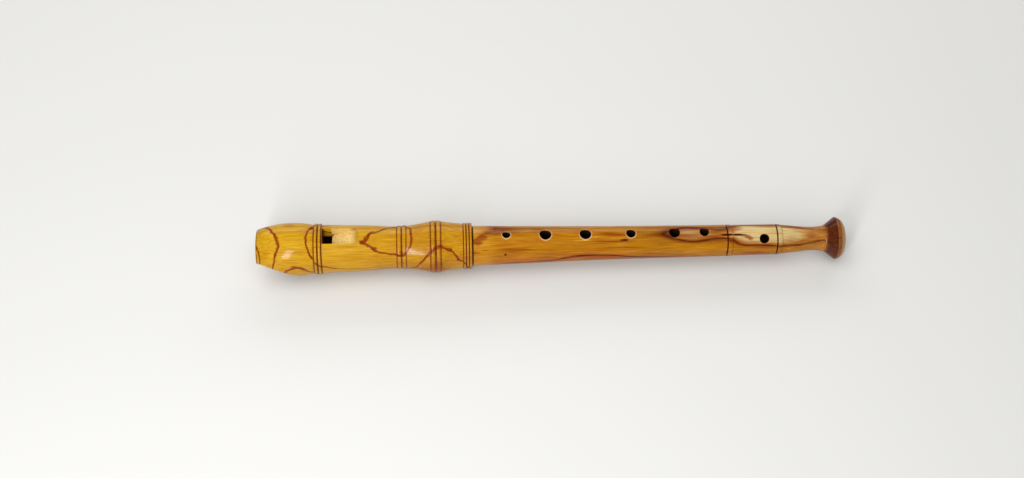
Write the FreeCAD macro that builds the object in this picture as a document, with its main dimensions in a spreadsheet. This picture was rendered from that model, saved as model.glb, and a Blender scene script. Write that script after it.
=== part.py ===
"""Soprano recorder in turned wood: head joint, block, tenon cork and one-piece lower joint.

Millimetres. X runs along the bore from the beak (-X) to the foot, whose end face is at X = 0.
+Z is the front, with the window and the finger holes; the thumb hole is on the back (-Z).
Each piece is drawn with its own x axis running towards the foot, from the piece's own head end.
"""
import FreeCAD, Part
import math
import os
import Sketcher

# (name, value in mm or degrees, what it is)
SIZES = [
    # head joint, stations from the beak's tip
    ("head_length", 115.9, "beak tip to socket rim"),
    ("tip_round", 1.0, "rounding of the beak's end edge"),
    ("beak_arc_radius", 54.0, "radius of the beak's front line"),
    ("beak_swell_place", 19.0, "station of the beak's widest place"),
    ("beak_swell_radius", 14.45, "outside radius there"),
    ("scoop_radius", 40.0, "radius of the hollow cut under the beak"),
    ("scoop_centre_back", 4.5, "scoop's centre, headward of the tip"),
    ("scoop_centre_drop", 36.85, "scoop's centre, below the bore axis"),
    ("scoop_edge_round", 0.6, "easing of the edge round the scoop, for the lips"),
    ("collar_place", 30.7, "start of the two beads above the window"),
    ("collar_width", 4.4, "width of both beads together"),
    ("collar_base_radius", 13.3, "radius at the foot of these beads"),
    ("collar_bead_radius", 13.9, "radius at their crest"),
    ("barrel_radius", 13.05, "radius just after the collar"),
    # head joint, distances back from the socket rim
    ("barrel_end_from_rim", 57.9, "end of the straight barrel"),
    ("barrel_end_radius", 12.35, "radius there"),
    ("barrel_ease_radius", 104.0, "radius of the curves that lead into the waist"),
    ("ease_from_rim", 50.9, "where the ease turns into the waist's hollow"),
    ("ease_end_radius", 11.95, "radius there"),
    ("waist_from_rim", 40.6, "start of the two beads on the waist"),
    ("waist_width", 5.1, "width of both waist beads"),
    ("waist_radius", 11.45, "radius at the foot of the waist beads"),
    ("waist_bead_radius", 11.85, "radius at their crest"),
    ("swell_hollow_radius", 120.0, "radius of the hollow sides of the socket bulge"),
    ("band_from_rim", 22.5, "start of the double band on the bulge"),
    ("band_width", 5.7, "width of the double band"),
    ("band_base_radius", 13.75, "radius at the foot of the band"),
    ("band_bead_radius", 14.2, "radius at its crest"),
    ("rim_stack_width", 4.8, "width of the three beads at the socket rim"),
    ("rim_base_radius", 12.2, "radius at the foot of the rim beads"),
    ("rim_bead_radius", 12.6, "radius at their crest"),
    # windway, window and labium
    ("window_place", 35.4, "upstream edge of the window, and the windway's length"),
    ("window_cut_up", 5.2, "window's upstream edge to the labium's edge"),
    ("window_width", 10.0, "width of the windway, the window and the ramp"),
    ("ramp_length", 14.1, "labium's edge to the end of the ramp"),
    ("ramp_rise_radius", 12.35, "height of the ramp's end over the bore axis"),
    ("labium_top", 6.5, "height of the labium's edge, upper side"),
    ("labium_undercut", 8.0, "length of the flattened underside of the labium"),
    ("windway_floor", 5.75, "height of the windway's floor at its middle"),
    ("windway_height", 1.1, "floor to roof"),
    ("windway_arch_radius", 20.0, "radius of the windway's arched roof"),
    # bore
    ("seat_radius", 6.6, "radius of the seat bored for the block"),
    ("bore_radius", 6.2, "bore radius below the window"),
    ("foot_bore_radius", 4.6, "bore radius at the foot"),
    ("foot_bore_length", 14.0, "length of the straight bore at the foot"),
    # block
    ("block_clearance", 0.05, "gap round the block"),
    ("block_end_gap", 0.1, "block's inner end to the shoulder of its seat"),
    ("block_chamfer", 0.5, "chamfer where the windway's floor meets the window"),
    # joint between the head and the lower joint
    ("tenon_length", 19.2, "length of the tenon"),
    ("tenon_radius", 8.4, "radius of the tenon's wooden lands"),
    ("tenon_land", 4.0, "land at the tenon's free end"),
    ("cork_length", 11.0, "length of the groove for the cork"),
    ("cork_depth", 0.8, "depth of that groove"),
    ("cork_glue_line", 0.05, "cork to the groove's floor"),
    ("cork_fit", 0.05, "cork to the socket's wall"),
    ("cork_end_gap", 0.1, "cork to each end of its groove"),
    ("socket_clearance", 0.1, "tenon to the socket's wall"),
    ("socket_end_gap", 0.8, "tenon's end to the socket's floor"),
    ("socket_chamfer", 0.5, "chamfer at the socket's mouth"),
    ("seam_gap", 0.3, "open seam between the rim and the shoulder"),
    # lower joint, distances back from the foot's end face
    ("body_length", 203.8, "shoulder to the foot's end face"),
    ("shoulder_chamfer", 0.4, "chamfer on the shoulder"),
    ("shoulder_radius", 10.85, "outside radius at the shoulder"),
    ("second_cone_from_foot", 175.0, "end of the body's first cone, between two holes"),
    ("second_cone_radius", 10.2, "radius there"),
    ("third_cone_from_foot", 153.5, "end of its second cone"),
    ("third_cone_radius", 9.65, "radius there"),
    ("fourth_cone_from_foot", 130.0, "end of its third cone"),
    ("fourth_cone_radius", 9.2, "radius there"),
    ("last_cone_from_foot", 106.0, "end of its fourth cone"),
    ("last_cone_radius", 8.87, "radius there"),
    ("upper_ring_from_foot", 65.2, "start of the upper ring"),
    ("upper_ring_radius", 8.58, "radius just before it"),
    ("upper_ring_foot_radius", 8.45, "radius just after it"),
    ("lower_ring_from_foot", 37.8, "start of the lower ring"),
    ("lower_ring_radius", 8.3, "radius just before it"),
    ("lower_ring_foot_radius", 7.98, "radius just after it"),
    ("ring_groove_width", 0.7, "width of the scored line that opens each ring"),
    ("ring_groove_depth", 0.4, "depth of that line"),
    ("ring_bead_width", 2.6, "width of the bead that follows it"),
    ("ring_bead_height", 0.16, "height of that bead over the wood before the ring"),
    ("taper_end_from_foot", 21.5, "end of the straight taper to the neck"),
    ("taper_end_radius", 6.68, "radius there"),
    ("neck_from_foot", 17.0, "narrowest place of the neck"),
    ("neck_radius", 6.47, "outside radius there"),
    ("neck_hollow_radius", 48.0, "radius of the hollow above the neck"),
    ("flare_start_from_foot", 11.5, "where the neck starts to flare"),
    ("flare_start_radius", 6.97, "radius there"),
    ("flare_hollow_radius", 30.0, "radius of the hollow below the neck"),
    ("flare_turn_from_foot", 9.05, "where the flare runs straight"),
    ("flare_turn_radius", 8.09, "radius there"),
    ("flare_bend_radius", 5.5, "radius of the bend between the two"),
    ("bell_edge_from_foot", 4.75, "start of the bell's rounded edge"),
    ("bell_edge_width", 1.0, "width of that edge"),
    ("bell_edge_radius", 11.4, "radius at the foot of the edge"),
    ("bell_edge_round", 0.7, "rounding of the edge"),
    ("bell_rim_round", 5.0, "rounding from the edge to the end face"),
    ("foot_face_radius", 8.2, "outer radius of the flat end face"),
    # tone holes, places back from the foot's end face
    ("thumb_hole_place", 194.4, "thumb hole on the back"),
    ("thumb_hole_diameter", 5.0, "thumb hole"),
    ("first_hole_place", 185.6, "first finger hole"),
    ("first_hole_diameter", 4.6, "first finger hole"),
    ("second_hole_place", 164.4, "second finger hole"),
    ("second_hole_diameter", 6.5, "second finger hole"),
    ("third_hole_place", 142.6, "third finger hole"),
    ("third_hole_diameter", 6.3, "third finger hole"),
    ("fourth_hole_place", 117.8, "fourth finger hole"),
    ("fourth_hole_diameter", 5.15, "fourth finger hole"),
    ("fifth_hole_place", 93.9, "fifth finger hole"),
    ("fifth_hole_diameter", 5.7, "fifth finger hole"),
    ("sixth_hole_place", 77.6, "sixth finger hole"),
    ("sixth_hole_diameter", 4.9, "sixth finger hole"),
    ("seventh_hole_place", 44.8, "seventh finger hole, for the little finger"),
    ("seventh_hole_diameter", 5.05, "seventh finger hole"),
    ("seventh_hole_turn", 31.0, "degrees that it is turned round towards the right hand"),
    ("hole_edge_round", 0.3, "easing of each tone hole's outer edge"),
]

BODY_LINE = ("second_cone", "third_cone", "fourth_cone", "last_cone", "upper_ring")
FRONT_HOLES = ("first", "second", "third", "fourth", "fifth", "sixth")

doc = FreeCAD.newDocument("soprano_recorder")
sheet = doc.addObject("Spreadsheet::Sheet", "Sizes")


def fill_sheet():
    """One row per driving size: name, value, meaning."""
    for row, (name, value, meaning) in enumerate(SIZES, start=1):
        sheet.set(f"A{row}", name)
        sheet.set(f"B{row}", str(value))
        sheet.set(f"C{row}", meaning)
        sheet.setAlias(f"B{row}", name)
    doc.recompute()


def linked(text):
    """The expression text with each size's name written as a reference to the sheet."""
    words = {name for name, _, _ in SIZES}
    parts, word = [], ""
    for mark in text + " ":
        if mark.isalnum() or mark == "_":
            word += mark
            continue
        parts.append(f"Sizes.{word}" if word in words else word)
        parts.append(mark)
        word = ""
    return "".join(parts).strip()


def number(text):
    """The value of an expression in the sheet's names."""
    return float(sheet.evalExpression(linked(text)))


def new_body(name):
    body = doc.addObject("PartDesign::Body", name)
    body.Label = name
    return body


def new_sketch(body, name, role, offset=None, turn=None):
    """A sketch on one of the body's own origin planes, moved along its normal or turned about x."""
    sketch = body.newObject("Sketcher::SketchObject", name)
    plane = next(item for item in body.Origin.OriginFeatures if item.Role == role)
    sketch.AttachmentSupport = [(plane, "")]
    sketch.MapMode = "FlatFace"
    if offset:
        sketch.setExpression("AttachmentOffset.Base.z", linked(offset))
    if turn:
        sketch.AttachmentOffset = FreeCAD.Placement(
            FreeCAD.Vector(), FreeCAD.Rotation(FreeCAD.Vector(1, 0, 0), number(turn))
        )
        sketch.setExpression("AttachmentOffset.Rotation.Angle", linked(turn))
    doc.recompute()
    return sketch


def bind(sketch, kind, *where, size):
    """A dimensional constraint whose value is an expression in the sheet's names."""
    index = sketch.addConstraint(Sketcher.Constraint(kind, *where, number(size)))
    sketch.setExpression(f"Constraints[{index}]", linked(size))


def place_point(sketch, piece, end, across, up):
    """Hold one end of a piece of geometry at (across, up); "0" puts it on that axis."""
    if across == "0":
        sketch.addConstraint(Sketcher.Constraint("PointOnObject", piece, end, -2))
    else:
        bind(sketch, "DistanceX", -1, 1, piece, end, size=across)
    if up == "0":
        sketch.addConstraint(Sketcher.Constraint("PointOnObject", piece, end, -1))
    else:
        bind(sketch, "DistanceY", -1, 1, piece, end, size=up)


def arc_between(start, end, radius, hollow):
    """An arc from start to end, with end to the right: hollow bends down, otherwise up."""
    middle = (start + end) * 0.5
    chord = end - start
    rise = math.sqrt(max(radius ** 2 - (chord.Length / 2) ** 2, 0.0))
    normal = FreeCAD.Vector(-chord.y, chord.x, 0).normalize()
    centre = middle + normal * (rise if hollow else -rise)
    first, last = (start, end) if hollow else (end, start)
    angles = [math.atan2(p.y - centre.y, p.x - centre.x) for p in (first, last)]
    if angles[1] < angles[0]:
        angles[1] += 2 * math.pi
    circle = Part.Circle(centre, FreeCAD.Vector(0, 0, 1), radius)
    return Part.ArcOfCircle(circle, *angles)


def draw_outline(sketch, points):
    """A closed outline through points, each (across, up) or (across, up, radius, kind).

    The last two, where given, make the stretch that ends at the point an arc:
    kind is "round" for one that bulges away from the x axis and "hollow" for the other.
    """
    places = [FreeCAD.Vector(number(p[0]), number(p[1]), 0) for p in points]
    ends = []
    for i, point in enumerate(points):
        before, here = places[i - 1], places[i]
        if len(point) == 2:
            piece = sketch.addGeometry(Part.LineSegment(before, here), False)
            ends.append((piece, 1, 2))
        else:
            hollow = point[3] == "hollow"
            piece = sketch.addGeometry(arc_between(before, here, number(point[2]), hollow), False)
            ends.append((piece, 1, 2) if hollow else (piece, 2, 1))
    for i, point in enumerate(points):
        after = ends[(i + 1) % len(points)]
        here = ends[i]
        sketch.addConstraint(Sketcher.Constraint("Coincident", here[0], here[2], after[0], after[1]))
        place_point(sketch, here[0], here[2], point[0], point[1])
        if len(point) == 4:
            bind(sketch, "Radius", here[0], size=point[2])
    settle(sketch)


def settle(sketch):
    """Every sketch has to solve and to have nothing left loose."""
    doc.recompute()
    if sketch.solve() != 0:
        raise RuntimeError(f"sketch {sketch.Name} does not solve")
    if not sketch.FullyConstrained:
        raise RuntimeError(f"sketch {sketch.Name} has loose geometry")


def beads(start, width, count, base, crest, end_base=None):
    """Outline points for a row of equal round beads that stand on base and rise to crest."""
    each = f"({width})/{count}"
    last = end_base or base
    points = []
    for i in range(1, count + 1):
        foot = last if i == count else base
        radius = f"(({each})^2/4 + (({crest})-({base}))^2)/(2*(({crest})-({base})))"
        points.append((f"{start} + {i}*{each}", foot, radius, "round"))
    return points


def feature(body, kind, name, sketch, **settings):
    """A PartDesign feature made from a sketch; it has to change the body's volume."""
    before = body.Tip.Shape.Volume if body.Tip and body.Tip.isDerivedFrom("PartDesign::Feature") else 0.0
    item = body.newObject(f"PartDesign::{kind}", name)
    item.Profile = sketch
    for key, value in settings.items():
        setattr(item, key, value)
    sketch.Visibility = False
    doc.recompute()
    change = item.Shape.Volume - before
    removes = kind in ("Pocket", "Groove", "SubtractiveLoft")
    if (removes and change > -1e-3) or (not removes and change < 1e-3):
        raise RuntimeError(f"{name} changed the volume by {change:.3f}")
    return item


def turn(body, name, sketch, cut=False):
    kind = "Groove" if cut else "Revolution"
    return feature(body, kind, name, sketch, ReferenceAxis=(sketch, ["H_Axis"]), Angle=360.0)


def pick_edges(shape, wanted):
    """Names of the edges of which wanted is true."""
    return [f"Edge{i}" for i, edge in enumerate(shape.Edges, start=1) if wanted(edge)]


def dress(body, kind, name, edges, sizes):
    """A fillet or chamfer on the named edges of the body's tip."""
    if not edges:
        raise RuntimeError(f"{name} found no edge")
    base = body.Tip
    item = body.newObject(f"PartDesign::{kind}", name)
    item.Base = (base, edges)
    for key, size in sizes.items():
        item.setExpression(key, linked(size))
    doc.recompute()
    return item


# ---- head joint ---------------------------------------------------------------------------

def head_outline(sketch):
    """The turned outside of the head, from the beak's tip to the socket rim."""
    sag_at = "(beak_swell_radius - beak_arc_radius + sqrt(beak_arc_radius^2 - ({} - beak_swell_place)^2))"
    rim = "head_length"
    band_end = "head_length - band_from_rim + band_width"
    draw_outline(sketch, [
        ("0", "0"),
        ("0", sag_at.format("tip_round") + " - tip_round"),
        ("tip_round", sag_at.format("tip_round"), "tip_round * 1.05", "round"),
        ("collar_place", sag_at.format("collar_place"), "beak_arc_radius", "round"),
        *beads("collar_place", "collar_width", 2, "collar_base_radius", "collar_bead_radius",
               "barrel_radius"),
        (f"{rim} - barrel_end_from_rim", "barrel_end_radius"),
        (f"{rim} - ease_from_rim", "ease_end_radius", "barrel_ease_radius", "round"),
        (f"{rim} - waist_from_rim", "waist_radius", "barrel_ease_radius", "hollow"),
        *beads(f"{rim} - waist_from_rim", "waist_width", 2, "waist_radius", "waist_bead_radius",
               "(waist_radius + waist_bead_radius) / 2"),
        (f"{rim} - band_from_rim", "band_base_radius", "swell_hollow_radius", "hollow"),
        *beads(f"{rim} - band_from_rim", "band_width", 2, "band_base_radius", "band_bead_radius"),
        (f"{rim} - rim_stack_width", "rim_base_radius", "swell_hollow_radius", "hollow"),
        *beads(f"{rim} - rim_stack_width", "rim_stack_width", 3, "rim_base_radius",
               "rim_bead_radius"),
        (rim, "0"),
    ])


def head_bore(sketch):
    """Block seat, bore and socket, bored from end to end."""
    floor = "head_length - tenon_length - seam_gap - socket_end_gap"
    socket = "tenon_radius + socket_clearance"
    draw_outline(sketch, [
        ("0", "0"),
        ("0", "seat_radius"),
        ("window_place", "seat_radius"),
        ("window_place", "bore_radius"),
        (floor, "bore_radius"),
        (floor, socket),
        ("head_length - socket_chamfer", socket),
        ("head_length", f"{socket} + socket_chamfer"),
        ("head_length", "0"),
    ])


def arched_slot(sketch, half_width, middle, arch, base="0"):
    """A slot that is symmetric about z, with an arched top whose middle is at the height middle."""
    side = f"{middle} - ({arch} - sqrt(({arch})^2 - ({half_width})^2))"
    draw_outline(sketch, [
        (f"-({half_width})", base),
        (f"-({half_width})", side),
        (half_width, side, arch, "round"),
        (half_width, base),
    ])


def arched_trench(sketch, half_width, middle, arch, top):
    """The space over an arched floor: what the ramp's cut takes away at one station."""
    side = f"{middle} - ({arch} - sqrt(({arch})^2 - ({half_width})^2))"
    draw_outline(sketch, [
        (f"-({half_width})", top),
        (f"-({half_width})", side),
        (half_width, side, arch, "round"),
        (half_width, top),
    ])


def cut_scoop(body, name):
    """The hollow under the beak: a round cut across the piece, open below."""
    sketch = new_sketch(body, f"{name}_sketch", "XZ_Plane")
    circle = Part.Circle(
        FreeCAD.Vector(-number("scoop_centre_back"), -number("scoop_centre_drop"), 0),
        FreeCAD.Vector(0, 0, 1),
        number("scoop_radius"),
    )
    piece = sketch.addGeometry(circle, False)
    bind(sketch, "DistanceX", -1, 1, piece, 3, size="-scoop_centre_back")
    bind(sketch, "DistanceY", -1, 1, piece, 3, size="-scoop_centre_drop")
    bind(sketch, "Radius", piece, size="scoop_radius")
    settle(sketch)
    return feature(body, "Pocket", name, sketch, Type="ThroughAll", Midplane=True)


def is_scoop_rim(edge):
    """True on the edges where the scoop leaves the beak's turned outside, past the tip's corner."""
    centre = FreeCAD.Vector(-number("scoop_centre_back"), 0, -number("scoop_centre_drop"))
    off = [math.hypot(v.X - centre.x, v.Z - centre.z) for v in edge.Vertexes]
    middle = edge.valueAt((edge.FirstParameter + edge.LastParameter) / 2)
    off.append(math.hypot(middle.x - centre.x, middle.z - centre.z))
    on_scoop = all(abs(distance - number("scoop_radius")) < 1e-3 for distance in off)
    return on_scoop and edge.BoundBox.XMax > 2 * number("tip_round")


def make_head_joint():
    body = new_body("head_joint")
    outside = new_sketch(body, "head_outside_sketch", "XY_Plane")
    head_outline(outside)
    turn(body, "head_outside", outside)
    cut_scoop(body, "beak_scoop")
    rim = pick_edges(body.Tip.Shape, is_scoop_rim)
    dress(body, "Fillet", "scoop_rim", rim, {"Radius": "scoop_edge_round"})
    bore = new_sketch(body, "head_bore_sketch", "XY_Plane")
    head_bore(bore)
    turn(body, "head_bore", bore, cut=True)

    windway = new_sketch(body, "windway_sketch", "YZ_Plane")
    arched_slot(windway, "window_width / 2", "windway_floor + windway_height", "windway_arch_radius")
    cut = feature(body, "Pocket", "windway", windway, Type="Length", Reversed=True,
                  Length=number("window_place"))
    cut.setExpression("Length", linked("window_place"))

    undercut = new_sketch(body, "labium_undercut_sketch", "YZ_Plane", offset="window_place")
    arched_slot(undercut, "window_width / 2", "bore_radius", "windway_arch_radius")
    cut = feature(body, "Pocket", "labium_undercut", undercut, Type="Length", Reversed=True,
                  Length=number("window_cut_up + labium_undercut"))
    cut.setExpression("Length", linked("window_cut_up + labium_undercut"))

    window = new_sketch(body, "window_sketch", "XY_Plane")
    draw_outline(window, [
        ("window_place", "-window_width / 2"),
        ("window_place", "window_width / 2"),
        ("window_place + window_cut_up", "window_width / 2"),
        ("window_place + window_cut_up", "-window_width / 2"),
    ])
    feature(body, "Pocket", "window", window, Type="ThroughAll", Reversed=True)
    cut_ramp(body)
    body.setExpression("Placement.Base.x", linked("-(head_length + seam_gap + body_length)"))
    return body


def cut_ramp(body):
    """The sloping face that rises from the labium's edge to the outside of the head."""
    edge = "window_place + window_cut_up"
    overrun = "2 * ramp_length"
    rise = "(ramp_rise_radius - labium_top) / ramp_length"
    top = "2 * beak_swell_radius"
    near = new_sketch(body, "ramp_start_sketch", "YZ_Plane", offset=edge)
    arched_trench(near, "window_width / 2", "labium_top", "windway_arch_radius", top)
    far = new_sketch(body, "ramp_end_sketch", "YZ_Plane", offset=f"{edge} + {overrun}")
    arched_trench(far, "window_width / 2", f"labium_top + {rise} * {overrun}",
                  "windway_arch_radius", f"{top} + {rise} * {overrun}")
    feature(body, "SubtractiveLoft", "labium_ramp", near, Sections=[far], Ruled=True)


# ---- block --------------------------------------------------------------------------------

def make_block():
    """The cedar plug in the beak, whose arched top is the windway's floor."""
    body = new_body("block")
    section = new_sketch(body, "block_section", "YZ_Plane")
    flank = "window_width / 2 - block_clearance"
    plug = "seat_radius - block_clearance"
    arch = "windway_arch_radius - windway_height"
    side = f"windway_floor - ({arch} - sqrt(({arch})^2 - ({flank})^2))"
    corner = f"sqrt(({plug})^2 - ({flank})^2)"
    draw_outline(section, [
        (f"-({flank})", corner, plug, "round"),
        (f"-({flank})", side),
        (flank, side, arch, "round"),
        (flank, corner),
        ("0", f"-({plug})", plug, "round"),
    ])
    length = "window_place - block_end_gap"
    pad = feature(body, "Pad", "block_plug", section, Type="Length", Length=number(length))
    pad.setExpression("Length", linked(length))
    doc.recompute()
    cut_scoop(body, "block_scoop")
    inner_end = number(length)
    edges = pick_edges(body.Tip.Shape, lambda e: all(abs(v.X - inner_end) < 1e-4 for v in e.Vertexes)
                       and e.CenterOfMass.z > number("windway_floor") - 0.5)
    dress(body, "Chamfer", "windway_exit", edges, {"Size": "block_chamfer"})
    body.setExpression("Placement.Base.x", linked("-(head_length + seam_gap + body_length)"))
    return body


# ---- cork ---------------------------------------------------------------------------------

def make_tenon_cork():
    """The sleeve of cork glued round the tenon."""
    body = new_body("tenon_cork")
    section = new_sketch(body, "cork_section", "YZ_Plane")
    for radius in ("tenon_radius - cork_depth + cork_glue_line",
                   "tenon_radius + socket_clearance - cork_fit"):
        circle = Part.Circle(FreeCAD.Vector(), FreeCAD.Vector(0, 0, 1), number(radius))
        piece = section.addGeometry(circle, False)
        section.addConstraint(Sketcher.Constraint("Coincident", piece, 3, -1, 1))
        bind(section, "Radius", piece, size=radius)
    settle(section)
    length = "cork_length - 2 * cork_end_gap"
    pad = feature(body, "Pad", "cork_sleeve", section, Type="Length", Length=number(length))
    pad.setExpression("Length", linked(length))
    body.setExpression(
        "Placement.Base.x", linked("tenon_land + cork_end_gap - tenon_length - body_length")
    )
    return body


# ---- lower joint --------------------------------------------------------------------------

def from_foot(distance):
    """A station of the lower joint, given as a distance back from the foot's end face."""
    return f"tenon_length + body_length - {distance}"


def foot_ring(name):
    """Outline points for a ring on the foot: a scored line, then one bead."""
    start = from_foot(f"{name}_from_foot")
    floor = f"{name}_radius - ring_groove_depth"
    bead_start = f"{start} + ring_groove_width"
    return [
        (f"{start} + ring_groove_width / 2", floor),
        (bead_start, f"{name}_radius"),
        *beads(bead_start, "ring_bead_width", 1, f"{name}_radius",
               f"{name}_radius + ring_bead_height", f"{name}_foot_radius"),
    ]


def body_outline(sketch):
    """The turned outside of the lower joint, from the tenon's end to the foot's end face."""
    cork_end = "tenon_land + cork_length"
    draw_outline(sketch, [
        ("0", "0"),
        ("0", "tenon_radius"),
        ("tenon_land", "tenon_radius"),
        ("tenon_land", "tenon_radius - cork_depth"),
        (cork_end, "tenon_radius - cork_depth"),
        (cork_end, "tenon_radius"),
        ("tenon_length", "tenon_radius"),
        ("tenon_length", "shoulder_radius - shoulder_chamfer"),
        ("tenon_length + shoulder_chamfer", "shoulder_radius"),
        *[(from_foot(f"{name}_from_foot"), f"{name}_radius") for name in BODY_LINE],
        *foot_ring("upper_ring"),
        (from_foot("lower_ring_from_foot"), "lower_ring_radius"),
        *foot_ring("lower_ring"),
        (from_foot("taper_end_from_foot"), "taper_end_radius"),
        (from_foot("neck_from_foot"), "neck_radius", "neck_hollow_radius", "hollow"),
        (from_foot("flare_start_from_foot"), "flare_start_radius", "flare_hollow_radius", "hollow"),
        (from_foot("flare_turn_from_foot"), "flare_turn_radius", "flare_bend_radius", "hollow"),
        (from_foot("bell_edge_from_foot"), "bell_edge_radius"),
        (from_foot("bell_edge_from_foot") + " + bell_edge_width", "bell_edge_radius",
         "bell_edge_round", "round"),
        (from_foot("0"), "foot_face_radius", "bell_rim_round", "round"),
        (from_foot("0"), "0"),
    ])


def body_bore(sketch):
    """The bore: it narrows evenly from the tenon, then runs straight at the foot."""
    draw_outline(sketch, [
        ("0", "0"),
        ("0", "bore_radius"),
        (from_foot("foot_bore_length"), "foot_bore_radius"),
        (from_foot("0"), "foot_bore_radius"),
        (from_foot("0"), "0"),
    ])


def drill(body, name, back=False, turned=None):
    """One tone hole, drilled from outside to the bore and no further."""
    sketch = new_sketch(body, f"{name}_sketch", "XY_Plane", turn=turned)
    place, radius = from_foot(f"{name}_place"), f"{name}_diameter / 2"
    circle = Part.Circle(
        FreeCAD.Vector(number(place), 0, 0), FreeCAD.Vector(0, 0, 1), number(radius)
    )
    piece = sketch.addGeometry(circle, False)
    place_point(sketch, piece, 3, place, "0")
    bind(sketch, "Radius", piece, size=radius)
    settle(sketch)
    return feature(body, "Pocket", name, sketch, Type="ThroughAll", Reversed=not back)


def is_hole_rim(edge):
    """True on the curve where a tone hole meets the outside of the body."""
    middle = edge.CenterOfMass
    return (edge.Curve.TypeId == "Part::GeomBSplineCurve"
            and math.hypot(middle.y, middle.z) > number("bore_radius"))


def make_lower_joint():
    body = new_body("lower_joint")
    outside = new_sketch(body, "body_outside_sketch", "XY_Plane")
    body_outline(outside)
    turn(body, "body_outside", outside)
    bore = new_sketch(body, "body_bore_sketch", "XY_Plane")
    body_bore(bore)
    turn(body, "body_bore", bore, cut=True)
    for name in FRONT_HOLES:
        drill(body, f"{name}_hole")
    drill(body, "seventh_hole", turned="seventh_hole_turn")
    drill(body, "thumb_hole", back=True)
    rims = pick_edges(body.Tip.Shape, is_hole_rim)
    dress(body, "Fillet", "hole_rims", rims, {"Radius": "hole_edge_round"})
    body.setExpression("Placement.Base.x", linked("-(tenon_length + body_length)"))
    return body


def check_and_write(bodies):
    """Nothing is written unless every object is sound."""
    doc.recompute()
    for item in doc.Objects:
        if "Invalid" in item.State or "Error" in item.State:
            raise RuntimeError(f"{item.Label} did not compute: {item.State}")
    for body in bodies:
        shape = body.Shape
        if shape.isNull() or not shape.isValid() or len(shape.Solids) != 1:
            raise RuntimeError(f"{body.Label} is not one sound solid")
    os.makedirs("parts", exist_ok=True)
    for body in bodies:
        body.Shape.exportStep(f"parts/{body.Label}.step")
        box = body.Shape.BoundBox
        print(f"{body.Label}: {body.Shape.Volume:.0f} mm3, X {box.XMin:.2f} to {box.XMax:.2f},"
              f" Z {box.ZMin:.2f} to {box.ZMax:.2f}")


fill_sheet()
check_and_write([make_head_joint(), make_block(), make_tenon_cork(), make_lower_joint()])
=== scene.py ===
"""A wooden soprano recorder lying on a pale table: camera, light, table and the looks of its four pieces.

The scene is in metres in the part's own frame: X is the bore's axis, from the beak (-X) to the foot's end at the
origin, +Z is the front with the finger holes, and -Y is the player's right. The figure of the wood is in
millimetres in the same frame. A place round the bore is given by its station, which is its X in millimetres, and
by its angle in degrees from the front towards the player's right.
"""
import math

import bpy
from mathutils import Matrix, Vector

# ---- camera --------------------------------------------------------------------------------------------------
CAMERA_ELEVATION = 55.5        # degrees above the table, on the player's right of the bore
CAMERA_DISTANCE = 0.850        # from the bore's axis to the camera
CAMERA_ALONG = -0.2266         # the camera's place along the bore
AIM_ALONG = -0.1821            # the place on the bore in the middle column of the picture
AIM_ABOVE = 0.0032             # how far the middle of the picture lies above the bore there
AXIS_RISE = 1.225              # degrees that the bore's axis rises to the right
LENS, SENSOR_WIDTH = 54.87, 36.0              # mm
CLIP_NEAR, CLIP_FAR = 0.01, 20.0

# ---- table ---------------------------------------------------------------------------------------------------
TABLE_COLOUR = (0.65, 0.65, 0.635, 1.0)
TABLE_ROUGHNESS, TABLE_SPECULAR = 0.9, 0.1
TABLE_REACH = 6.0                             # half the table's width
BAND_PLACE, BAND_LOWEST = -0.225, -0.0142     # the two places where the recorder touches the table
BELL_PLACE, BELL_LOWEST = -0.00425, -0.0116

# ---- light ---------------------------------------------------------------------------------------------------
WORLD_COLOUR, WORLD_STRENGTH = (1.0, 0.985, 0.96, 1.0), 0.40
WHITE, COOL_WHITE = (1.0, 1.0, 1.0), (1.0, 0.99, 0.97)
# name: place, place it points at, width and height, watts, colour, whether it shows in the gloss
LIGHTS = {
    "window_light": ((-0.10, 0.85, 0.50), (-0.16, 0.0, 0.0), (1.5, 0.40), 4.2, COOL_WHITE, True),
    "key_light": ((-0.42, -0.62, 0.42), (-0.22, 0.0, 0.0), (0.12, 0.50), 3.4, WHITE, True),
    "overhead_light": ((-0.40, -0.20, 1.05), (-0.16, 0.0, 0.0), (1.3, 1.0), 8.6, WHITE, False),
}


def srgb(red, green, blue):
    """A linear colour from levels of 0 to 255."""
    def linear(level):
        level /= 255.0
        return level / 12.92 if level <= 0.04045 else ((level + 0.055) / 1.055) ** 2.4
    return (linear(red), linear(green), linear(blue), 1.0)


# ---- wood ----------------------------------------------------------------------------------------------------
MM_PER_METRE = 1000.0
MIX_SHARE, MIX_FIRST, MIX_SECOND, MIX_RESULT = 0, 6, 7, 2     # a colour Mix node's sockets

# Noise patterns: a cell's size along and across the bore in mm, a shift that sets the pattern apart from the
# others, and the noise's detail and roughness.
BLOTCH = (26.0, 9.0, 3.0, 2.0)
FIBRE = (14.0, 0.55, 11.0, 4.0, 0.6)
PORES = (2.6, 0.22, 5.0, 2.0)
VESSELS = (1.6, 0.5, 17.0)
BREAKS = (3.0, 3.0, 23.0, 2.0)
SPECKS = (1.1, 0.6, 31.0, 2.0)
WAVE_SHIFT, JAG_SHIFT, STREAK_SHIFT = 0.0, 7.0, 41.0
FIELD_DETAIL = 2.0

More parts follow.
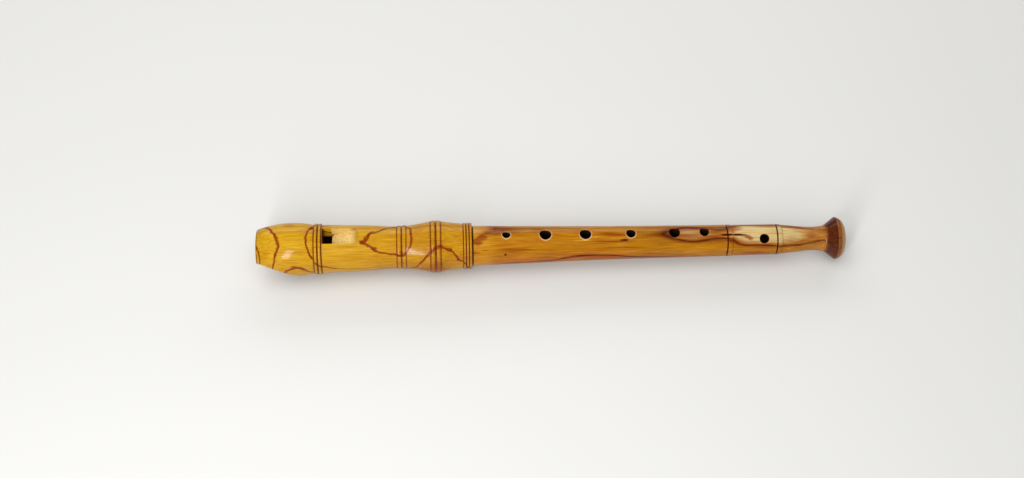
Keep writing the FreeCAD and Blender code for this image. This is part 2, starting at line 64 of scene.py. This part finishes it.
# Steps: the value where a change starts, the value where it is complete, and what it gives at the two.
BLOTCH_STEP = (-0.5, 0.7, 0.0, 0.35)
FIBRE_STEP = (-0.2, 0.6, 0.0, 0.60)
GLOW_STEP = (-0.6, -0.1, 0.45, 0.0)
STREAK_START, STREAK_FULL = 0.0, 0.5
PORE_STEP = (0.42, 0.75, 0.0, 0.22)
STAIN_CORE, STAIN_EDGE = 0.4, 1.1             # in half sizes
STAIN_FIBRE_STEP = (-0.5, 0.3, 0.6, 1.0)
LINE_CORE = 0.3                               # the part of a dark line's half width that has its full depth
SPOT_CORE, SPOT_EDGE = 0.45, 1.0              # in half sizes
BREAK_STEP = (-0.7, 0.1, 0.65, 1.0)
END_GRAIN_STEP, VESSEL_STEP = (0.06, 0.5, 0.0, 0.95), (-0.4, 0.3, 0.78, 1.0)
END_GRAIN_POWER = 1.6
# The next step turns occlusion into painted shade in grooves and other hollows.
RECESS_SHADE_STEP = (0.55, 0.97, 0.95, 0.0)
SPECK_STEP = (0.0, 0.4, 0.0, 0.8)
ROUGHNESS_STEP = (-0.6, 0.8, 0.30, 0.42)      # the gloss, by fibre

BLOTCH_TINT, FIBRE_TINT, GLOW_COLOUR = srgb(176, 104, 34), srgb(190, 120, 50), srgb(238, 190, 74)
STREAK_TINT, PORE_TINT, END_GRAIN_TINT = srgb(196, 126, 62), srgb(120, 60, 20), srgb(122, 56, 28)
# The third colour below is a painted highlight for the bell's rounded rim.
STAIN_COLOUR, HALO_COLOUR, RIM_HIGHLIGHT_COLOUR = srgb(132, 62, 12), srgb(236, 198, 146), srgb(226, 182, 112)
# Painted shade for the inside of the bore, the window's chamber and the walls of the tone holes.
BORE_SHADE_COLOUR = srgb(40, 22, 12)
CUT_COLOUR, SPECK_COLOUR = srgb(236, 206, 132), srgb(176, 134, 66)

# The lowest and highest value that each kind of curve can hold.
GROWTH_LIMITS, HEIGHT_LIMITS = (-0.5, 0.5), (-8.0, 8.0)
THICKNESS_LIMITS, BORE_SHADE_LIMITS = (0.0, 2.0), (0.0, 16.0)
TONE_LIMITS = (-12.0, 8.0)                    # the levels of the field that the tones cover

HOLE_DISTANCE, HOLE_REACH = 9.3, 6.0          # mm from the bore's axis to a hole's edge, and half the mark's depth
HALO_LEAN = 2.2                               # degrees that a hole's pale edge lies to the player's right of it
HALO_START, HALO_END, HALO_SHARE = 0.2, 0.7, 0.42             # mm from the hole's edge, and share
BORE_SHADE_FADE = 0.9                               # mm over which the painted shade of the inside sets in
RECESS_SHADE_REACH, RECESS_SHADE_SAMPLES = 0.0014, 8      # metres that the painted shade in grooves and other hollows looks out to, and its rays
CUT_LEAD, CUT_FADE, CUT_SIDE_FADE = 0.2, 6.0, 0.15            # mm over which the cut's colour sets in
CUT_FLOOR, CUT_FLOOR_END, CUT_SHARE = 6.0, 6.6, 0.75
RIM_HIGHLIGHT_LOW, RIM_HIGHLIGHT_HIGH = (0.25, 0.5), (0.8, 0.97, 1.0, 0.0)    # how squarely a rounded edge faces outwards, for its painted highlight
RIM_HIGHLIGHT_FADE, RIM_HIGHLIGHT_SHARE = 1.0, 0.45
COAT_WEIGHT, COAT_ROUGHNESS, SPECULAR_LEVEL = 0.25, 0.10, 0.08
GRAIN_FIBRE, GRAIN_PORES = 0.4, -0.3          # how much each pattern lifts the surface
GRAIN_STRENGTH, GRAIN_DISTANCE = 0.25, 0.00004

CEDAR_RINGS_FRONT, CEDAR_RINGS_SIDE, CEDAR_RINGS_WAVE = 0.9, 0.35, 0.5
CEDAR_WAVE, CEDAR_FIBRE = (40.0, 6.0), (12.0, 0.3)
CEDAR_TONES = ((0.0, srgb(196, 122, 78)), (0.75, srgb(172, 96, 56)), (0.93, srgb(120, 58, 34)),
               (1.0, srgb(196, 122, 78)))
CEDAR_FIBRE_STEP, CEDAR_TINT = (-0.3, 0.8, 0.0, 0.3), srgb(150, 80, 50)
CEDAR_ROUGHNESS, CEDAR_STRENGTH, CEDAR_DISTANCE = 0.62, 0.4, 0.00006
CORK_GRAIN, CORK_GRIT = (1.4, 1.4), (0.5, 0.5)
CORK_TONES = ((0.0, srgb(150, 104, 62)), (0.3, srgb(196, 150, 100)), (0.8, srgb(216, 174, 124)),
              (1.0, srgb(118, 74, 42)))
CORK_GRIT_STEP, CORK_TINT = (0.1, 0.7, 0.0, 0.5), srgb(130, 84, 50)
CORK_ROUGHNESS, CORK_STRENGTH, CORK_DISTANCE = 0.8, 0.6, 0.0001

# ---- the figure of each joint --------------------------------------------------------------------------------
HONEY, GOLD = (198, 154, 22), (202, 158, 24)
BROWN, CREAM, TAN, TOFFEE, RUST = (118, 50, 6), (206, 186, 128), (168, 111, 10), (160, 96, 24), (164, 84, 4)

# Along the bore, a curve is given by its heights, spaced evenly over a stretch of it.
# growth: the stretch, the field's growth per mm to the side, its growth per mm to the front, and its height
# wave and jag: what disturbs the field, as a cell's size along and across the bore, and the height
# tones: the wood's colour between the rings, as level of the field and colour
# rings: the dark growth rings, as level, half width in levels and depth; thickness scales their width
# scored: the dark lines turned round the wood beside the beads, as station, half width and depth
# spots and stains: knots and pin marks, and wider brown patches, as station, angle, distance from the bore's
#     axis, half length, half width and depth
# tints: changes of tone along the bore, as the stations where each starts and is complete, colour and share
# streaks: browner streaks, as a cell's size along and across the bore, and the share
# holes: the tone holes with a pale edge, as station, angle and radius
# bore_shade: the stretch, and the distance from the axis at which the painted shade of the inside ends
# cut: the freshly cut ramp, as its two ends and half its width; rim_highlight: the stretch whose rounded edge has
# a painted highlight
HEAD = {
    "growth": (
        (-320.0, -200.0),
        (-0.33, -0.04, -0.15, -0.09, -0.04, 0.04, -0.05),
        (0.08, 0.23, 0.35, 0.32, 0.30, 0.12, 0.12),
        (1.8, -0.4, -2.7, -4.2, -4.3, -3.3, -2.5, -1.9, -1.3, -0.68, -0.08, 0.5, 1.15, 1.42, 0.38, -0.9, -1.3,
         -0.8, -0.2, 0.3, 0.9)),
    "rings": ((-9.0, 0.25, 0.8), (-6.0, 0.25, 0.8), (-3.1, 0.34, 0.95), (0.0, 0.3, 1.0), (3.9, 0.32, 1.0),
              (6.6, 0.25, 0.8)),
    "thickness": (1.0, 1.0, 1.0, 1.0, 0.9, 0.5, 0.4, 0.6, 0.9, 1.0, 0.8, 0.55, 0.8),
    "tones": ((-12.0, HONEY), (-9.0, BROWN), (-8.6, HONEY), (-6.0, HONEY), (-3.1, HONEY), (-2.6, GOLD),
              (-0.5, HONEY), (0.2, GOLD), (3.2, HONEY), (4.2, GOLD), (8.0, HONEY)),
    "line_and_shade_colour": srgb(122, 42, 4),
    "bore_shade": ((-320.0, -200.0), (6.9, 6.9, 6.9, 7.4, 7.4, 6.9, 6.9, 6.9, 6.9, 6.9, 6.9, 6.9, 6.9)),
    "wave": (9.0, 5.0, 0.45),
    "jag": (2.4, 2.4, 0.16),
    "streaks": (30.0, 3.0, 0.35),
    "scored": ((-289.3, 0.35, 0.6), (-287.1, 0.4, 0.8), (-284.95, 0.45, 0.9), (-244.7, 0.45, 0.85),
               (-242.15, 0.5, 0.7), (-239.6, 0.45, 0.85), (-226.6, 0.55, 0.85), (-223.75, 0.9, 0.8),
               (-220.9, 0.55, 0.85), (-208.9, 0.45, 0.8), (-207.3, 0.4, 0.8), (-205.7, 0.4, 0.85)),
    "spots": ((-259.8, 28.0, 12.6, 1.9, 1.3, 0.6), (-257.6, 33.0, 12.5, 1.2, 0.9, 0.5),
              (-242.2, 49.0, 11.8, 1.5, 1.5, 0.7)),
    "tints": ((-290.0, -235.0, (176, 120, 14), 0.6),),
    "stains": ((-223.0, 84.0, 14.0, 4.5, 4.5, 0.85), (-224.0, 102.0, 13.6, 14.0, 4.5, 0.7),
               (-302.5, -30.0, 14.4, 4.5, 2.4, 0.4)),
    "holes": (),
    "cut": ((-279.6, -264.6), 5.0),
    "rim_highlight": None,
}
BODY = {
    "growth": (
        (-208.0, 8.0),
        (0.08, 0.08, 0.05, 0.01, -0.03, -0.06, -0.05, -0.11, -0.12),
        (0.21, 0.22, 0.28, 0.35, 0.38, 0.37, 0.36, 0.34, 0.32),
        (2.6, 2.05, 1.6, 1.3, 1.2, 1.1, 0.8, 0.2, -0.2, -0.3, -0.2, 0.1, 0.2, 0.4, 0.8, 1.1, 1.1, 1.05, 1.2, 1.85,
         1.95, 1.95, 2.1, 2.2, 2.05, 1.6, 0.9, 0.2)),
    "rings": ((-7.0, 0.2, 0.7), (-3.5, 0.12, 0.7), (0.0, 0.25, 1.0), (4.05, 0.12, 0.7)),
    "thickness": (0.3, 0.25, 1.0, 1.0, 1.0, 1.0, 1.0, 1.0, 1.0),
    "tones": ((-12.0, TAN), (-7.0, BROWN), (-6.6, TAN), (-3.5, BROWN), (-3.1, TAN), (-1.4, TAN), (-0.6, RUST),
              (-0.05, RUST), (0.25, (174, 102, 5)), (1.8, TAN), (2.8, (178, 118, 8)), (3.6, TAN), (4.0, BROWN),
              (4.25, TOFFEE), (4.7, CREAM), (8.0, CREAM)),
    "line_and_shade_colour": srgb(66, 18, 2),
    "bore_shade": ((-220.0, 0.0), (6.3, 9.4, 9.4, 9.3, 9.2, 9.1, 9.0, 8.7, 8.2, 7.2, 5.6, 4.9)),
    "wave": (26.0, 4.0, 0.35),
    "jag": (7.0, 1.3, 0.07),
    "streaks": (34.0, 2.6, 0.8),
    "scored": ((-64.85, 0.6, 0.85), (-37.45, 0.6, 0.85), (-62.0, 0.35, 0.35), (-34.5, 0.35, 0.35)),
    "spots": ((-186.3, 64.5, 10.4, 1.0, 1.0, 1.0), (-121.7, 26.0, 9.1, 3.1, 0.8, 1.0),
              (-65.0, 14.0, 8.6, 5.0, 1.0, 1.0), (-59.5, 14.0, 8.45, 4.0, 1.0, 1.0),
              (-97.5, -2.0, 8.8, 4.5, 2.4, 0.4), (-202.5, 56.0, 10.85, 3.6, 0.5, 0.7),
              (-197.2, 49.0, 10.8, 3.4, 0.5, 0.5)),
    "tints": ((-190.0, -198.0, (196, 138, 24), 0.75), (-27.0, -20.0, (176, 120, 48), 0.7),
              (-12.0, -8.5, (126, 61, 22), 0.8)),
    "stains": ((-56.4, 16.5, 8.4, 2.8, 1.1, 1.0), (-54.0, 22.0, 8.4, 2.3, 1.2, 0.95),
               (-52.4, 30.0, 8.4, 1.9, 1.3, 0.8), (-201.2, 25.0, 10.85, 3.3, 2.6, 1.0),
               (-198.4, 10.0, 10.8, 3.3, 2.6, 1.0), (-195.4, -7.0, 10.75, 3.6, 2.2, 0.9),
               (-191.5, -20.0, 10.65, 4.4, 1.6, 0.8), (-186.5, -29.0, 10.5, 5.0, 1.9, 0.8),
               (-46.5, 61.0, 8.35, 5.0, 1.4, 0.55), (-18.5, 18.0, 6.5, 3.4, 2.4, 0.55),
               (-58.8, -12.0, 8.5, 3.4, 1.8, 0.55)),
    "holes": ((-185.6, 0.0, 2.3), (-164.4, 0.0, 3.25), (-142.6, 0.0, 3.15), (-117.8, 0.0, 2.575),
              (-194.4, 180.0, 2.5)),
    "cut": None,
    "rim_highlight": (-4.2, 1.0),                     # the bell's rim, which gets a painted highlight
}


class Nodes:
    """Short expressions for a material's node tree. An argument is a number, a colour or another node's socket."""

    def __init__(self, name):
        self.material = bpy.data.materials.new(name)
        self.material.use_nodes = True
        self.tree = self.material.node_tree
        self.shader = self.tree.nodes["Principled BSDF"]

    def put(self, socket, value):
        if isinstance(value, bpy.types.NodeSocket):
            self.tree.links.new(value, socket)
        else:
            socket.default_value = value

    def node(self, kind, **inputs):
        made = self.tree.nodes.new(kind)
        for name, value in inputs.items():
            self.put(made.inputs[name.replace("_", " ")], value)
        return made

    def math(self, operation, *values):
        made = self.tree.nodes.new("ShaderNodeMath")
        made.operation = operation
        for socket, value in zip(made.inputs, values):
            self.put(socket, value)
        return made.outputs[0]

    def add(self, *values):
        total = values[0]
        for value in values[1:]:
            total = self.math("ADD", total, value)
        return total

    def times(self, *values):
        product = values[0]
        for value in values[1:]:
            product = self.math("MULTIPLY", product, value)
        return product

    def away(self, value, middle):
        """How far value is from middle."""
        return self.math("ABSOLUTE", self.math("SUBTRACT", value, middle))

    def spread(self, value, start, end, low=0.0, high=1.0, kind="LINEAR"):
        """low to high as value goes from start to end, and held beyond them."""
        made = self.tree.nodes.new("ShaderNodeMapRange")
        made.interpolation_type = kind
        for socket, given in zip(made.inputs, (value, start, end, low, high)):
            self.put(socket, given)
        return made.outputs[0]

    def step(self, value, start, end, low=0.0, high=1.0):
        return self.spread(value, start, end, low, high, "SMOOTHSTEP")

    def curve(self, place, span, heights, limits):
        """A smooth curve through heights, which are spaced evenly over span and lie within limits."""
        low, high = limits
        made = self.tree.nodes.new("ShaderNodeFloatCurve")
        line = made.mapping.curves[0]
        steps = len(heights) - 1
        for number, height in enumerate(heights):
            at = (number / steps, (height - low) / (high - low))
            if number in (0, steps):
                line.points[0 if number == 0 else -1].location = at
            else:
                line.points.new(*at)
        made.mapping.update()
        self.put(made.inputs["Value"], self.spread(place, *span))
        return self.math("MULTIPLY_ADD", made.outputs[0], high - low, low)

    def mix(self, share, first, second, blend="MIX"):
        made = self.tree.nodes.new("ShaderNodeMix")
        made.data_type = "RGBA"
        made.blend_type = blend
        for number, value in ((MIX_SHARE, share), (MIX_FIRST, first), (MIX_SECOND, second)):
            self.put(made.inputs[number], value)
        return made.outputs[MIX_RESULT]

    def ramp(self, value, stops, low=0.0, high=1.0):
        made = self.tree.nodes.new("ShaderNodeValToRGB")
        band = made.color_ramp
        places = [((place - low) / (high - low), colour) for place, colour in stops]
        band.elements[0].position, band.elements[0].color = places[0]
        band.elements[1].position, band.elements[1].color = places[-1]
        for place, colour in places[1:-1]:
            band.elements.new(place).color = colour
        self.put(made.inputs[0], self.spread(value, low, high))
        return made.outputs[0]

    def place(self):
        """The place in the part's frame, in mm."""
        made = self.node("ShaderNodeVectorMath", Vector=self.node("ShaderNodeTexCoord").outputs["Object"])
        made.operation = "SCALE"
        made.inputs["Scale"].default_value = MM_PER_METRE
        return made.outputs[0]

    def cells(self, place, along, across, shift=0.0):
        """place, in mm, divided into cells that are along mm long on X and across mm wide on Y and Z."""
        made = self.node("ShaderNodeMapping", Vector=place, Scale=(1.0 / along, 1.0 / across, 1.0 / across),
                         Location=(shift, shift, shift))
        return made.outputs[0]

    def noise(self, place, along, across, shift=0.0, detail=3.0, roughness=0.5):
        """Noise from about -1 to 1, in cells of that size."""
        made = self.node("ShaderNodeTexNoise", Vector=self.cells(place, along, across, shift), Scale=1.0,
                         Detail=detail, Roughness=roughness, Distortion=0.0)
        return self.math("MULTIPLY_ADD", made.outputs["Fac"], 2.0, -1.0)

    def ellipsoid(self, place, station, angle, distance, half_sizes):
        """How far place is from a point of the wood: 1 is the half sizes along, round and out from the bore."""
        turn = math.radians(angle)
        mark = self.node("ShaderNodeMapping", Vector=place, Rotation=(turn, 0.0, 0.0), Scale=half_sizes,
                         Location=(station, -distance * math.sin(turn), distance * math.cos(turn)))
        mark.vector_type = "TEXTURE"
        length = self.node("ShaderNodeVectorMath", Vector=mark.outputs[0])
        length.operation = "LENGTH"
        return length.outputs["Value"]

    def relief(self, height, strength, distance):
        """Lifts the surface by height."""
        bump = self.node("ShaderNodeBump", Height=height, Strength=strength, Distance=distance)
        self.put(self.shader.inputs["Normal"], bump.outputs[0])


def ring_field(n, place, axes, joint):
    """The field whose levels are the growth rings."""
    along, side, front = axes
    span, to_side, to_front, heights = joint["growth"]
    field = n.add(n.times(side, n.curve(along, span, to_side, GROWTH_LIMITS)),
                  n.times(front, n.curve(along, span, to_front, GROWTH_LIMITS)),
                  n.curve(along, span, heights, HEIGHT_LIMITS))
    for (cell_along, cell_across, height), shift in ((joint["wave"], WAVE_SHIFT), (joint["jag"], JAG_SHIFT)):
        field = n.add(field, n.times(n.noise(place, cell_along, cell_across, shift, FIELD_DETAIL), height))
    return field


def plain_wood(n, place, along, field, fibre, pores, joint):
    """The wood's colour without its dark lines."""
    colour = n.ramp(field, [(level, srgb(*tone)) for level, tone in joint["tones"]], *TONE_LIMITS)
    for start, end, tone, share in joint["tints"]:
        colour = n.mix(n.step(along, start, end, 0.0, share), colour, srgb(*tone))
    colour = n.mix(n.step(n.noise(place, *BLOTCH), *BLOTCH_STEP), colour, BLOTCH_TINT, "MULTIPLY")
    colour = n.mix(n.step(fibre, *FIBRE_STEP), colour, FIBRE_TINT, "MULTIPLY")
    colour = n.mix(n.step(fibre, *GLOW_STEP), colour, GLOW_COLOUR)
    cell_along, cell_across, share = joint["streaks"]
    streak = n.noise(place, cell_along, cell_across, STREAK_SHIFT)
    colour = n.mix(n.step(streak, STREAK_START, STREAK_FULL, 0.0, share), colour, STREAK_TINT, "MULTIPLY")
    colour = n.mix(n.step(pores, *PORE_STEP), colour, PORE_TINT, "MULTIPLY")
    for station, angle, distance, half_length, half_width, depth in joint["stains"]:
        off = n.ellipsoid(place, station, angle, distance, (half_length, half_width, half_width))
        share = n.times(n.step(off, STAIN_CORE, STAIN_EDGE, depth, 0.0), n.step(fibre, *STAIN_FIBRE_STEP))
        colour = n.mix(share, colour, STAIN_COLOUR)
    return colour


def dark_lines(n, place, along, field, joint):
    """How dark the growth rings, the scored lines and the spots are."""
    lines = 0.0
    scale = n.curve(along, joint["growth"][0], joint["thickness"], THICKNESS_LIMITS)
    for level, half_width, depth in joint["rings"]:
        off = n.math("DIVIDE", n.away(field, level), scale)
        lines = n.math("MAXIMUM", lines, n.step(off, half_width * LINE_CORE, half_width, depth, 0.0))
    for station, half_width, depth in joint["scored"]:
        off = n.away(along, station)
        lines = n.math("MAXIMUM", lines, n.step(off, half_width * LINE_CORE, half_width, depth, 0.0))
    for station, angle, distance, half_length, half_width, depth in joint["spots"]:
        off = n.ellipsoid(place, station, angle, distance, (half_length, half_width, half_width))
        lines = n.math("MAXIMUM", lines, n.step(off, SPOT_CORE, SPOT_EDGE, depth, 0.0))
    return n.times(lines, n.step(n.noise(place, *BREAKS), *BREAK_STEP))


def fresh_cut(n, axes, cut):
    """Where the wood is freshly cut, in a box on the front."""
    along, side, front = axes
    (start, end), half_width = cut
    return n.times(n.step(along, start - CUT_LEAD, start), n.step(along, end - CUT_FADE, end, 1.0, 0.0),
                   n.step(n.math("ABSOLUTE", side), half_width, half_width + CUT_SIDE_FADE, 1.0, 0.0),
                   n.step(front, CUT_FLOOR, CUT_FLOOR_END))


def painted_rim_highlight(n, axes, around, normal, stretch):
    """Where a rounded edge in that stretch of the bore gets a painted highlight."""
    along, side, front = axes
    outward = n.node("ShaderNodeVectorMath")
    outward.operation = "DOT_PRODUCT"
    radial = n.node("ShaderNodeCombineXYZ", Y=n.math("DIVIDE", side, around), Z=n.math("DIVIDE", front, around))
    n.put(outward.inputs[0], radial.outputs[0])
    n.put(outward.inputs[1], normal)
    facing = outward.outputs["Value"]
    rim = n.times(n.step(facing, *RIM_HIGHLIGHT_LOW), n.step(facing, *RIM_HIGHLIGHT_HIGH))
    start, end = stretch
    within = n.times(n.step(along, start, start + RIM_HIGHLIGHT_FADE), n.step(along, end - RIM_HIGHLIGHT_FADE, end, 1.0, 0.0))
    return n.times(rim, within, RIM_HIGHLIGHT_SHARE)


def turned_wood(name, joint):
    """The material of a joint turned from one block of wood. The growth rings are the levels of one field through
    the block, so they run on round its back and through its beads."""
    n = Nodes(name)
    place = n.place()
    axes = along, side, front = n.node("ShaderNodeSeparateXYZ", Vector=place).outputs[:]
    normal = n.node("ShaderNodeTexCoord").outputs["Normal"]
    along_bore = n.node("ShaderNodeSeparateXYZ", Vector=normal).outputs[0]
    around = n.math("POWER", n.add(n.times(side, side), n.times(front, front)), 0.5)
    field = ring_field(n, place, axes, joint)
    fibre = n.noise(place, *FIBRE)
    pores = n.noise(place, *PORES)

    colour = plain_wood(n, place, along, field, fibre, pores, joint)
    colour = n.mix(dark_lines(n, place, along, field, joint), colour, joint["line_and_shade_colour"])
    end_grain = n.math("POWER", n.math("ABSOLUTE", along_bore), END_GRAIN_POWER)
    share = n.times(n.step(end_grain, *END_GRAIN_STEP), n.step(n.noise(place, *VESSELS), *VESSEL_STEP))
    colour = n.mix(share, colour, END_GRAIN_TINT, "MULTIPLY")
    for station, angle, radius in joint["holes"]:
        off = n.ellipsoid(place, station, angle + HALO_LEAN, HOLE_DISTANCE, (radius, radius, HOLE_REACH))
        halo = n.step(off, 1.0 + HALO_START / radius, 1.0 + HALO_END / radius, HALO_SHARE, 0.0)
        colour = n.mix(halo, colour, HALO_COLOUR)
    # Painted shade: within the given distance from the axis, the bore, the window and the holes' walls turn nearly
    # black.
    span, shade_radii = joint["bore_shade"]
    shade_radius = n.curve(along, span, shade_radii, BORE_SHADE_LIMITS)
    colour = n.mix(n.step(n.math("SUBTRACT", shade_radius, around), 0.0, BORE_SHADE_FADE), colour, BORE_SHADE_COLOUR)

    # Painted shade: occlusion darkens the grooves, the holes' edges and the window's walls towards the dark line
    # colour, but not the fresh cut.
    recess_shade = n.node("ShaderNodeAmbientOcclusion", Distance=RECESS_SHADE_REACH)
    recess_shade.samples = RECESS_SHADE_SAMPLES
    recess_shade.only_local = True
    painted_recess_shade = n.step(recess_shade.outputs["AO"], *RECESS_SHADE_STEP)
    if joint["cut"]:
        fresh = fresh_cut(n, axes, joint["cut"])
        speckled = n.mix(n.step(n.noise(place, *SPECKS), *SPECK_STEP), CUT_COLOUR, SPECK_COLOUR)
        colour = n.mix(n.times(fresh, CUT_SHARE), colour, speckled)
        painted_recess_shade = n.times(painted_recess_shade, n.math("SUBTRACT", 1.0, fresh))
    # The painted shade of the hollows goes on here, in the dark line colour.
    colour = n.mix(painted_recess_shade, colour, joint["line_and_shade_colour"])
    # Painted highlight: the bell's rounded rim is made pale where the light catches it.
    if joint["rim_highlight"]:
        colour = n.mix(painted_rim_highlight(n, axes, around, normal, joint["rim_highlight"]), colour, RIM_HIGHLIGHT_COLOUR)

    n.put(n.shader.inputs["Base Color"], colour)
    n.put(n.shader.inputs["Roughness"], n.step(fibre, *ROUGHNESS_STEP))
    n.shader.inputs["Coat Weight"].default_value = COAT_WEIGHT
    n.shader.inputs["Coat Roughness"].default_value = COAT_ROUGHNESS
    n.shader.inputs["Specular IOR Level"].default_value = SPECULAR_LEVEL
    n.relief(n.add(n.times(fibre, GRAIN_FIBRE), n.times(pores, GRAIN_PORES)), GRAIN_STRENGTH, GRAIN_DISTANCE)
    return n.material


def cedar():
    """Bare red cedar, for the block."""
    n = Nodes("red_cedar")
    place = n.place()
    _, side, front = n.node("ShaderNodeSeparateXYZ", Vector=place).outputs
    rings = n.math("FRACT", n.add(n.times(front, CEDAR_RINGS_FRONT), n.times(side, CEDAR_RINGS_SIDE),
                                  n.times(n.noise(place, *CEDAR_WAVE), CEDAR_RINGS_WAVE)))
    fibre = n.noise(place, *CEDAR_FIBRE)
    colour = n.mix(n.step(fibre, *CEDAR_FIBRE_STEP), n.ramp(rings, CEDAR_TONES), CEDAR_TINT, "MULTIPLY")
    n.put(n.shader.inputs["Base Color"], colour)
    n.shader.inputs["Roughness"].default_value = CEDAR_ROUGHNESS
    n.relief(fibre, CEDAR_STRENGTH, CEDAR_DISTANCE)
    return n.material


def cork():
    """Natural cork, for the tenon's sleeve."""
    n = Nodes("cork")
    place = n.place()
    grains = n.node("ShaderNodeTexVoronoi", Vector=n.cells(place, *CORK_GRAIN), Scale=1.0)
    speck = n.node("ShaderNodeSeparateXYZ", Vector=grains.outputs["Color"]).outputs[0]
    grit = n.noise(place, *CORK_GRIT)
    colour = n.mix(n.step(grit, *CORK_GRIT_STEP), n.ramp(speck, CORK_TONES), CORK_TINT, "MULTIPLY")
    n.put(n.shader.inputs["Base Color"], colour)
    n.shader.inputs["Roughness"].default_value = CORK_ROUGHNESS
    n.relief(n.math("SUBTRACT", grit, grains.outputs["Distance"]), CORK_STRENGTH, CORK_DISTANCE)
    return n.material


def make_camera():
    data = bpy.data.cameras.new("camera")
    data.lens = LENS
    data.sensor_width = SENSOR_WIDTH
    data.clip_start = CLIP_NEAR
    data.clip_end = CLIP_FAR
    camera = bpy.data.objects.new("camera", data)
    bpy.context.scene.collection.objects.link(camera)
    tilt = math.radians(CAMERA_ELEVATION)
    towards = Vector((0.0, -math.cos(tilt), math.sin(tilt)))
    place = Vector((CAMERA_ALONG, 0.0, 0.0)) + towards * CAMERA_DISTANCE
    across = Vector((0.0, math.sin(tilt), math.cos(tilt)))
    aim = Vector((AIM_ALONG, 0.0, 0.0)) + across * AIM_ABOVE
    back = (place - aim).normalized()
    right = across.cross(back).normalized()
    up = back.cross(right)
    turn = Matrix.Rotation(math.radians(-AXIS_RISE), 3, back)
    matrix = Matrix((turn @ right, turn @ up, back)).transposed().to_4x4()
    matrix.translation = place
    camera.matrix_world = matrix
    bpy.context.scene.camera = camera


def make_table():
    """A flat sheet that touches the recorder's widest band and the edge of its bell."""
    slope = (BELL_LOWEST - BAND_LOWEST) / (BELL_PLACE - BAND_PLACE)
    corners = []
    for along, side in ((-1, -1), (1, -1), (1, 1), (-1, 1)):
        x = along * TABLE_REACH
        corners.append((x, side * TABLE_REACH, BAND_LOWEST + slope * (x - BAND_PLACE)))
    mesh = bpy.data.meshes.new("table_top")
    mesh.from_pydata(corners, [], [(0, 1, 2, 3)])
    floor = bpy.data.objects.new("table_top", mesh)
    bpy.context.scene.collection.objects.link(floor)
    material = bpy.data.materials.new("table_white")
    material.use_nodes = True
    shader = material.node_tree.nodes["Principled BSDF"]
    shader.inputs["Base Color"].default_value = TABLE_COLOUR
    shader.inputs["Roughness"].default_value = TABLE_ROUGHNESS
    shader.inputs["Specular IOR Level"].default_value = TABLE_SPECULAR
    mesh.materials.append(material)


def area_light(name, place, aim, size, power, colour, in_gloss):
    data = bpy.data.lights.new(name, "AREA")
    data.shape = "RECTANGLE"
    data.size, data.size_y = size
    data.energy = power
    data.color = colour
    light = bpy.data.objects.new(name, data)
    bpy.context.scene.collection.objects.link(light)
    light.rotation_mode = "QUATERNION"
    light.rotation_quaternion = (Vector(place) - Vector(aim)).normalized().to_track_quat("Z", "Y")
    light.location = place
    light.visible_glossy = in_gloss


def light_scene():
    world = bpy.data.worlds.new("studio")
    world.use_nodes = True
    background = world.node_tree.nodes["Background"]
    background.inputs["Color"].default_value = WORLD_COLOUR
    background.inputs["Strength"].default_value = WORLD_STRENGTH
    bpy.context.scene.world = world
    world.cycles_visibility.glossy = False    # after the line above: it needs the world to be in the scene
    bpy.context.scene.view_settings.view_transform = "Standard"
    for name, settings in LIGHTS.items():
        area_light(name, *settings)


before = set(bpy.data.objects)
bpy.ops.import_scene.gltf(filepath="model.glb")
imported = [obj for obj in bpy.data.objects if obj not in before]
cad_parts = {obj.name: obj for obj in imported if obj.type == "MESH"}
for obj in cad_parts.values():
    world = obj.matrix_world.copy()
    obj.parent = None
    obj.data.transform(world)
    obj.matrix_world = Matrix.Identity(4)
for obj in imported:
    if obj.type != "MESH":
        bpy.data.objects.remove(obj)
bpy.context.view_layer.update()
make_camera()
make_table()
looks = {"head_joint": turned_wood("head_olivewood", HEAD), "lower_joint": turned_wood("body_olivewood", BODY),
         "block": cedar(), "tenon_cork": cork()}
for node, material in looks.items():
    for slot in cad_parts[node].material_slots:
        slot.material = material
light_scene()
